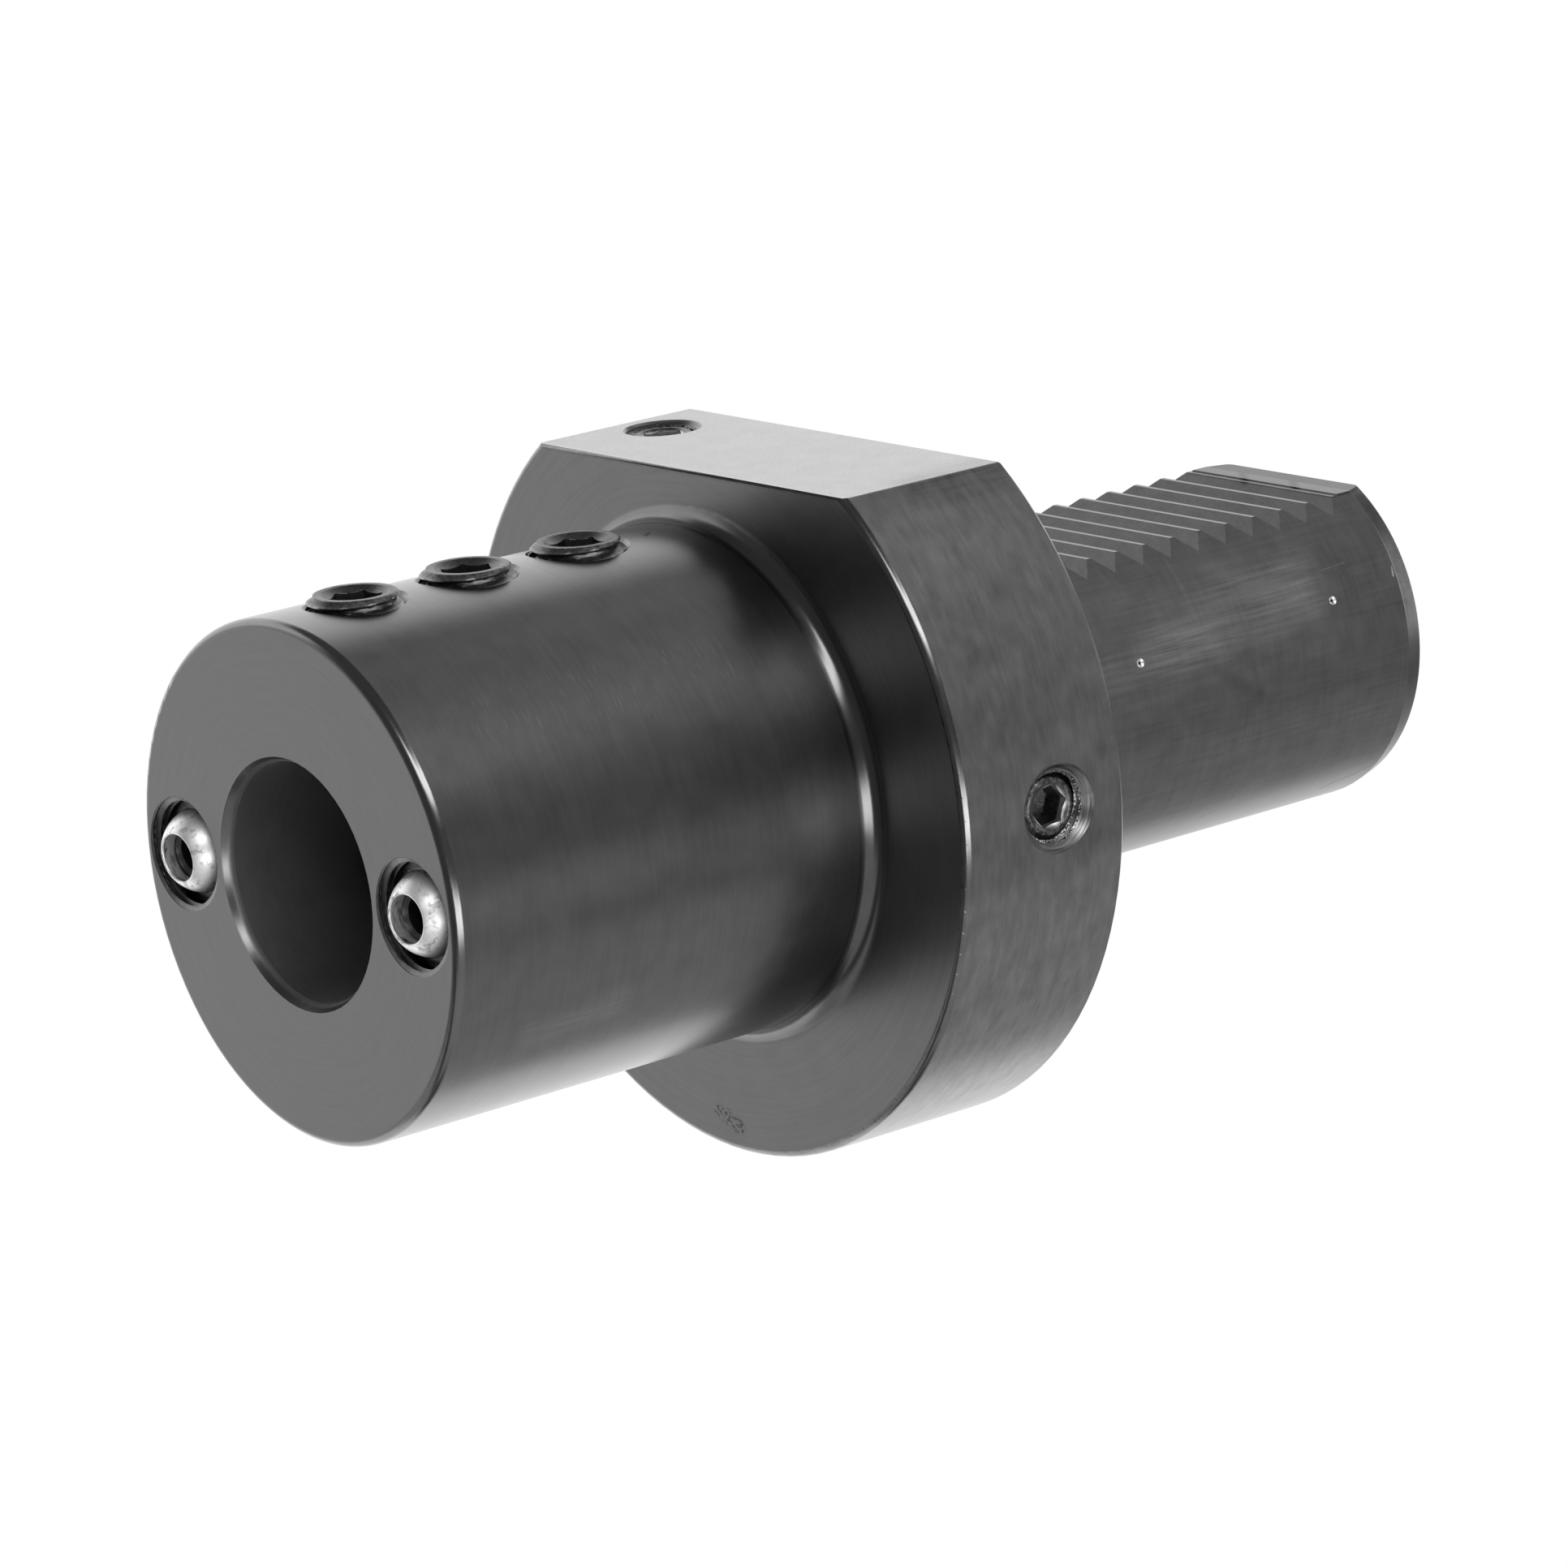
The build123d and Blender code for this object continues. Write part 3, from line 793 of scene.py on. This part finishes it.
# %% Rubber
def make_rubber():
    """Matte black rubber: a fine moulded grain, a paler bloom in patches, and a shallow bump. The
    place is left in metres here, so the scales are per metre."""
    material = bpy.data.materials.new("black_rubber")
    tree = new_tree(material)
    place = start(tree, "ShaderNodeTexCoord", "Object")
    grain = noise(place, 4000.0, 3.0)
    bloom = noise(place, 350.0, 4.0)
    grey = 0.014 + grain * 0.008 + bloom.rise(0.5, 0.75) * 0.02
    bump = {"Height": grain, "Distance": 20 * THOUSANDTH_OF_MM, "Strength": 1.0}
    inputs = {
        "Base Color": as_colour(grey),
        "Roughness": 0.5 + bloom * 0.2,
        "Normal": grain.node("ShaderNodeBump", bump),
    }
    show(grey.node("ShaderNodeBsdfPrincipled", inputs))
    return material


rubber = make_rubber()
seals = [name for name in nodes if "seal" in name]
for name in seals:
    dress(name, rubber)
print("rubber on", ", ".join(seals))

# %% [markdown]
# ## Surfaces from two parameters
# The threads and the balls are too fine for the solids, which have plain cylinders there. Each is a
# round skin: rows follow a profile, columns go once around, and the radius may change with both.
# All points of a skin are worked out at once as arrays, because a loop over vertices would be slow
# and would hide the formula. A frame of three directions then puts the skin where its solid is.

# %% A skin from a grid
COLUMNS = 144
SHARP_EDGE = math.radians(35)


def around():
    """The angles of the columns, once around."""
    return np.linspace(0, 2 * math.pi, COLUMNS, endpoint=False)


def in_frame(origin, across, outward, angles, radii, heights):
    """Points at a radius and an angle about the outward axis, and at a height along it. The angle
    starts at the across direction: point = origin + height * outward
    + radius * (cos(angle) * across + sin(angle) * (outward x across))."""
    origin, across, outward = (np.asarray(v, float) for v in (origin, across, outward))
    third = np.cross(outward, across)
    radii, angles, heights = np.broadcast_arrays(radii, angles, heights)
    ring = np.cos(angles)[..., None] * across + np.sin(angles)[..., None] * third
    return origin + heights[..., None] * outward + radii[..., None] * ring


def merge(mesh):
    """Joins the points of a mesh that lie in one place, and keeps its corners sharp."""
    merged = bmesh.new()
    merged.from_mesh(mesh)
    bmesh.ops.remove_doubles(merged, verts=merged.verts, dist=1e-7)
    merged.to_mesh(mesh)
    merged.free()
    mesh.set_sharp_from_angle(angle=SHARP_EDGE)


def new_skin(name, grid, closed_profile=False):
    """A closed mesh over a grid of points in mm. The columns join up, and the rows too where the
    profile is closed. A row that has shrunk to a point is merged into one vertex. The faces are
    turned outwards by the sign of the volume, the sum over faces of a . (b x c) / 6."""
    rows, columns = grid.shape[:2]
    index = np.arange(rows * columns).reshape(rows, columns)
    after = np.roll(index, -1, axis=0) if closed_profile else index[1:]
    here = index if closed_profile else index[:-1]
    quads = np.stack([here, np.roll(here, -1, axis=1), np.roll(after, -1, axis=1), after], axis=-1)
    quads = quads.reshape(-1, 4)
    points = grid.reshape(-1, 3) / MM_PER_METRE
    a, b, c, d = (points[quads[:, i]] - points.mean(axis=0) for i in range(4))
    volume = (np.cross(b, c) * a).sum() / 6 + (np.cross(c, d) * a).sum() / 6
    if volume < 0:
        quads = quads[:, ::-1]
    made = new_object(name, points, quads)
    merge(made.data)
    print(name, "has", len(made.data.polygons), "faces and", round(abs(volume) * 1e9, 1), "mm3")
    return made


def finish_piece(piece, body, slot, material, *replaced):
    """Gives a piece its material, the body it rides on and the nodes it stands for. Its slot is not
    used.
    """
    piece.data.materials.append(material)
    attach(piece, body)
    if replaced:
        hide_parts(*replaced)


# %% [markdown]
# ## The body's shading
# The body's solid comes as triangles with a blended normal at each corner. Where a rounding runs
# into a long turned side the blend is up to eleven degrees off, and the highlight turns into saw
# teeth. The surface itself is right and needs no new model. So a copy of the mesh stands for it,
# and the normals of its corners are worked out again from the surfaces that they lie on.

# %% True normals
# Each rounding has the x and the radius of its circle's centre, its own radius, and a sign that is
# 1 on an outer edge and -1 in a fillet.
ROUNDINGS = {
    "nose rim": (-74.0, 26.25, 1.0, 1),
    "root fillet": (-24.0, 29.25, 2.0, -1),
    "flange front edge": (-21.15, 40.65, 0.85, 1),
}
ON_SURFACE = 0.004
FACET_SPAN, FACET_TILT = math.cos(math.radians(8)), math.cos(math.radians(60))
STEEP_ENOUGH, FLAT_ENOUGH, TINY = 0.01, 0.99999, 1e-9


def true_normals(corners, given):
    """The normals at the corners of triangles, an array of triangles, corners and parts. A facet of
    a cylinder or cone about X keeps its tilt, and turns to each corner's own radial direction. On a
    rounding the normal points from the circle at its centre to the corner, or back in a fillet. On
    a plane it is the cross product of two sides, and elsewhere it stays as given."""
    flat = np.cross(corners[:, 1] - corners[:, 0], corners[:, 2] - corners[:, 0])
    flat = (flat / np.maximum(np.linalg.norm(flat, axis=1, keepdims=True), TINY))[:, None]
    radius = np.maximum(np.hypot(corners[..., 1], corners[..., 2]), TINY)
    radial = corners * (0, 1, 1) / radius[..., None]
    outwards = (flat * radial).sum(axis=-1)
    steep = np.sqrt(np.maximum(1 - flat[..., 0] ** 2, 0))
    turned = np.all(np.abs(outwards) > steep * FACET_SPAN, axis=1) & (steep[:, 0] > STEEP_ENOUGH)
    straight = flat * (1, 0, 0) + radial * (np.sign(outwards) * steep)[..., None]
    level = np.abs(flat).max(axis=-1) > FLAT_ENOUGH
    result = np.where(turned[:, None, None], straight, np.where(level[..., None], flat, given))
    for x, centre_radius, size, sign in ROUNDINGS.values():
        along, across = corners[..., 0] - x, radius - centre_radius
        normal = (along[..., None] * (1, 0, 0) + across[..., None] * radial) * (sign / size)
        on = np.all(np.abs(np.hypot(along, across) - size) < ON_SURFACE, axis=1)
        on &= np.all((normal * flat).sum(axis=-1) > FACET_TILT, axis=1)
        result = np.where(on[:, None, None], normal, result)
    return result


# %% The body's copy
def read_corners(mesh):
    """The places of a triangle mesh's corners in mm, and their normals, by triangle."""
    places = np.empty(len(mesh.vertices) * 3)
    mesh.vertices.foreach_get("co", places)
    index = np.empty(len(mesh.loops), int)
    mesh.loops.foreach_get("vertex_index", index)
    normals = np.empty(len(mesh.loops) * 3)
    mesh.corner_normals.foreach_get("vector", normals)
    corners = places.reshape(-1, 3)[index].reshape(-1, 3, 3) * MM_PER_METRE
    return corners, normals.reshape(-1, 3, 3)


def make_body():
    """The body's mesh once more, merged, with true normals. Merging changes the corners' order, so
    they are read again after it."""
    corners, _ = read_corners(nodes["holder_body"].data)
    triangles = np.arange(corners.size // 3).reshape(-1, 3)
    made = new_object("holder_body_turned", corners / MM_PER_METRE, triangles)
    merge(made.data)
    corners, given = read_corners(made.data)
    normals = true_normals(corners, given)
    made.data.normals_split_custom_set(normals.reshape(-1, 3).tolist())
    changed = np.degrees(np.arccos(np.clip((normals * given).sum(axis=-1), -1, 1)))
    print("body of", len(corners), "triangles, normals turned by up to", round(changed.max(), 1))
    return made


finish_piece(make_body(), "holder", "body_steel", steel_body, "holder_body")

# %% [markdown]
# ## Threaded screws
# The clamp screws are black set screws with a coarse thread, and both plugs are short ones with a
# smaller socket. One function makes all five. From the socket's floor the profile goes up the
# hexagon, over the mouth's cone and the top face, down the thread and across the point. The hexagon
# and the thread are only radii that change with the angle. A Screw modifier could wind a thread, but
# it wouldn't run out cleanly into the cones at both ends.

# %% Radii of a hexagon and of a thread
THREAD_DEPTH = 0.5413
CREST_FLAT, FLANK_SPAN = 1 / 16, 5 / 16


def hexagon_radius(angles, key):
    """From the centre to the side of a hexagon with the given width across its flats: half the key
    divided by the cosine of the angle to the nearest flat's middle."""
    sixth = math.pi / 3
    return key / 2 / np.cos(np.mod(angles, sixth) - sixth / 2)


def thread_drop(heights, angles, pitch, phase):
    """How far a metric thread lies below its crest. The distance along the axis to the nearest
    crest, a saw wave that climbs one pitch per turn, is 0 on a crest and half a pitch in a root.
    The crest is flat over an eighth of the pitch, a sixteenth each way, and the root over a
    quarter. The flank between them falls in a straight line by the thread's depth, 0.5413 of the
    pitch."""
    turns = (heights - phase) / pitch - angles / (2 * math.pi)
    distance = np.abs(np.mod(turns + 0.5, 1.0) - 0.5)
    return np.clip((distance - CREST_FLAT) / FLANK_SPAN, 0, 1) * THREAD_DEPTH * pitch


print("a hexagon of 5 mm is", round(float(hexagon_radius(0.0, 5.0)) * 2, 2), "mm over its corners")


# %% One screw
SOCKET_STEPS, ROWS_PER_PITCH = 20, 16
EDGE_STEP = 0.07


def screw_grid(shape, turn, phase):
    """Angles, radii and heights of a screw's rows and columns, up from its socket's floor and over
    the top face at height 0. Within the mouth's cone the radius is the larger of cone and hexagon.
    Outside, it is the smallest of the thread, the top's 45 degree cone and the point's."""
    angles = around()
    key, top, point, mouth = shape["key"], shape["top"], shape["point"], shape["mouth"]
    hexagon = hexagon_radius(angles - turn, key)
    ones = np.ones_like(angles)
    floor, mouth_depth, length = -shape["socket"], shape["mouth_depth"], shape["length"]
    rows = [(floor - key / 4, 0 * ones), (floor, key / 2 * ones), (floor, hexagon)]
    rows.append((-mouth_depth - EDGE_STEP / 2, hexagon))
    for depth in np.linspace(mouth_depth, 0, SOCKET_STEPS):
        cone = mouth - (mouth - key / 2) * depth / mouth_depth
        rows.append((-depth, np.maximum(hexagon, cone)))
    rows.append((0.0, (top - EDGE_STEP) * ones))
    heights = np.array([row[0] for row in rows])[:, None] * ones
    radii = np.array([row[1] for row in rows])
    count = int(length / shape["pitch"] * ROWS_PER_PITCH)
    down = np.linspace(-EDGE_STEP * 0.6, -length, count)[:, None]
    thread = shape["radius"] - thread_drop(down, angles, shape["pitch"], phase)
    outside = np.minimum(thread, np.minimum(top - down - EDGE_STEP * 0.3, point + length + down))
    heights = np.vstack([heights, down * ones, -length * ones])
    radii = np.vstack([radii, outside, 0 * ones])
    return angles, radii, heights


def make_screw(name, shape, face, across, outward, turn, phase):
    """A screw, from its top face's centre, two directions, its hexagon's turn and its thread's
    phase."""
    angles, radii, heights = screw_grid(shape, turn, phase)
    return new_skin(name, in_frame(face, across, outward, angles, radii, heights))


# %% The three clamp screws
CLAMP_SHAPE = {
    "radius": CLAMP_RADIUS, "pitch": CLAMP_PITCH, "length": 12.0, "top": 4.3, "point": 3.5,
    "key": 5.0, "socket": 5.0, "mouth": 3.5, "mouth_depth": 0.6,
}
# Each screw's hexagon stands at its own turn, in degrees, and its thread at its own phase, in mm.
CLAMP_TURNS = {"front": (37.0, -1.33), "middle": (5.0, -1.25), "rear": (20.0, -1.18)}

for number, (side, (turn, phase)) in enumerate(CLAMP_TURNS.items()):
    node = f"clamp_screw_{side}"
    face = (CLAMP_FIRST_X + CLAMP_SPACING * number, 0, CLAMP_TOP_Z)
    turn = math.radians(turn)
    screw = make_screw(f"{node}_threaded", CLAMP_SHAPE, face, (1, 0, 0), (0, 0, 1), turn, phase)
    finish_piece(screw, node, "screw_steel", black_steel, node)

# %% The two plugs
PLUG_SHAPE = {
    "radius": 4.0, "pitch": 1.25, "length": 5.0, "top": 3.0, "point": 3.8,
    "key": 4.0, "socket": 3.2, "mouth": 2.5, "mouth_depth": 0.35,
}
PLUG_PHASE = 0.3
# Each plug's face, outward direction, turn in degrees and material.
PLUGS = {
    "side_plug": ((PLUG_X, SIDE_PLUG_Y, 0.0), (0, -1, 0), 8.0, side_plug_steel),
    "top_plug": ((PLUG_X, TOP_PLUG_Y, TOP_PLUG_Z), (0, 0, 1), 0.0, top_plug_steel),
}

for name, (face, outward, turn, material) in PLUGS.items():
    turn = math.radians(turn)
    plug = make_screw(f"{name}_threaded", PLUG_SHAPE, face, (1, 0, 0), outward, turn, PLUG_PHASE)
    finish_piece(plug, "holder", "screw_steel", material, f"{name}_screw")

# %% [markdown]
# ## Ball nozzles
# Each ball is a polished steel sphere with a stepped hole. In the solids the hole's rim is a knife
# edge, but the real one is rounded, and that rounding is the bright line around the hole. A bevel
# on a drilled sphere would be uneven there. So the ball is turned again here: a profile of arcs and
# straight walls carried once around its axis.

# %% The balls
HOLE_RADIUS, HOLE_DEPTH, BORE_RADIUS, BORE_END = 2.5, 1.7, 2.1, -3.5
RIM_RADIUS = 0.16
BALL_ROWS, RIM_ROWS, WALL_ROWS = 72, 9, 10
# Each ball's place across the nose, and its turn and tilt in degrees.
BALLS = {"right": (-CHANNEL_OFFSET, 4.9, 1.3), "left": (CHANNEL_OFFSET, 3.0, -2.4)}


def arc(centre, radius, first, last, count):
    """Points (along, radius) of an arc between two angles in degrees, measured from +along."""
    angles = np.radians(np.linspace(first, last, count))
    return np.column_stack([np.cos(angles), np.sin(angles)]) * radius + centre


def ball_profile():
    """The closed outline of half a ball: the sphere's arc from the rear hole's edge to the front
    rim, the rim's small arc that touches both the sphere and the hole's wall, the wall, the step
    with a drill's cone, and the rear bore. The rim's centre is where a circle of its radius touches
    the wall and the sphere from inside: (R - r)^2 = along^2 + (hole + r)^2."""
    rim_height = HOLE_RADIUS + RIM_RADIUS
    rim_along = math.sqrt((BALL_RADIUS - RIM_RADIUS) ** 2 - rim_height**2)
    touch = math.degrees(math.atan2(rim_height, rim_along))
    rear = 180 - math.degrees(math.asin(BORE_RADIUS / BALL_RADIUS))
    step = rim_along - HOLE_DEPTH + RIM_RADIUS
    return np.vstack(
        [
            arc((0, 0), BALL_RADIUS, rear, touch, BALL_ROWS),
            arc((rim_along, rim_height), RIM_RADIUS, touch, -90, RIM_ROWS)[1:],
            np.linspace((rim_along - 0.05, HOLE_RADIUS), (step, HOLE_RADIUS), WALL_ROWS),
            [(step - 0.06, HOLE_RADIUS - 0.04), (step - 0.35, BORE_RADIUS + 0.08)],
            [(step - 0.42, BORE_RADIUS), (BORE_END, BORE_RADIUS)],
        ]
    )


def jet_direction(turn, tilt):
    """Where a ball's jet points: along -X, tilted up, and then turned round Z."""
    level = -math.cos(tilt)
    return np.array([math.cos(turn) * level, math.sin(turn) * level, math.sin(tilt)])


for side, (y, turn, tilt) in BALLS.items():
    jet = jet_direction(math.radians(turn), math.radians(tilt))
    across = np.cross((0, 0, 1), jet)
    across /= np.linalg.norm(across)
    along, radii = ball_profile().T
    grid = in_frame((BALL_X, y, 0), across, jet, around(), radii[:, None], along[:, None])
    ball = new_skin(f"nozzle_ball_{side}_turned", grid, closed_profile=True)
    node = f"nozzle_ball_{side}"
    finish_piece(ball, node, "ball_steel", polished_steel, node)

# %% [markdown]
# ## Threads in the holes
# Each ball is held by a ring that is screwed into the nose's face, and a turn or two of the thread
# stay free in front of the ring. The plugs sit in tapped holes too, and their countersinks run down
# to the thread's crests. The solids have smooth walls there. A thin sleeve lines each: its inside
# is the thread, and its outside lies a little inside the steel, so that no gap shows. Cutting each
# thread into the body could look the same, but it would leave the body's mesh ragged.

# %% A threaded sleeve
SLEEVE_WALL, SLEEVE_ROWS_PER_MM = 0.08, 34


def sleeve_grid(radius, pitch, length, phase, countersink):
    """The inside of a tapped hole as a closed sleeve. The thread's crests stand the thread's depth
    inwards of its roots. The inside is the larger of the thread and a cone that falls from the
    mouth to the crests over the countersink's depth."""
    angles = around()
    ones = np.ones_like(angles)
    depth = THREAD_DEPTH * pitch
    deep = np.linspace(0, length, int(length * SLEEVE_ROWS_PER_MM))[:, None]
    thread = radius - depth + thread_drop(deep, angles, pitch, phase)
    inside = np.maximum(thread, radius - deep / countersink * depth)
    outer = (radius + SLEEVE_WALL) * ones
    radii = np.vstack([outer, inside, outer])
    heights = np.vstack([0 * ones, deep * ones, length * ones])
    return angles, radii, -heights


# %% Sleeves for the nozzles and the plugs
# Each sleeve's mouth, its outward and its across direction, a size and a material. A size is the
# radius, the length and the countersink's depth.
SEAT_X, NOZZLE_SEAT = FACE_X + 0.07, (6.02, 1.65, 0.12)
SLEEVES = {
    "nozzle_seat_thread_right": (
        (SEAT_X, -CHANNEL_OFFSET, 0.0), (-1, 0, 0), (0, -1, 0), NOZZLE_SEAT, thread_steel,
    ),
    "nozzle_seat_thread_left": (
        (SEAT_X, CHANNEL_OFFSET, 0.0), (-1, 0, 0), (0, -1, 0), NOZZLE_SEAT, thread_steel,
    ),
    "side_plug_seat_thread": (
        (PLUG_X, -40.79, 0.0), (0, -1, 0), (1, 0, 0), (4.03, 1.2, 0.54), side_seat_steel,
    ),
    "top_plug_seat_thread": (
        (PLUG_X, TOP_PLUG_Y, 32.32), (0, 0, 1), (1, 0, 0), (4.03, 0.62, 0.54), top_seat_steel,
    ),
}
SLEEVE_PITCH, SLEEVE_PHASE = 1.0, 0.35

for name, (mouth, outward, across, size, material) in SLEEVES.items():
    radius, length, countersink = size
    angles, radii, heights = sleeve_grid(radius, SLEEVE_PITCH, length, SLEEVE_PHASE, countersink)
    grid = in_frame(mouth, across, outward, angles, radii, heights)
    sleeve = new_skin(name, grid, closed_profile=True)
    finish_piece(sleeve, "holder", "body_steel", material)
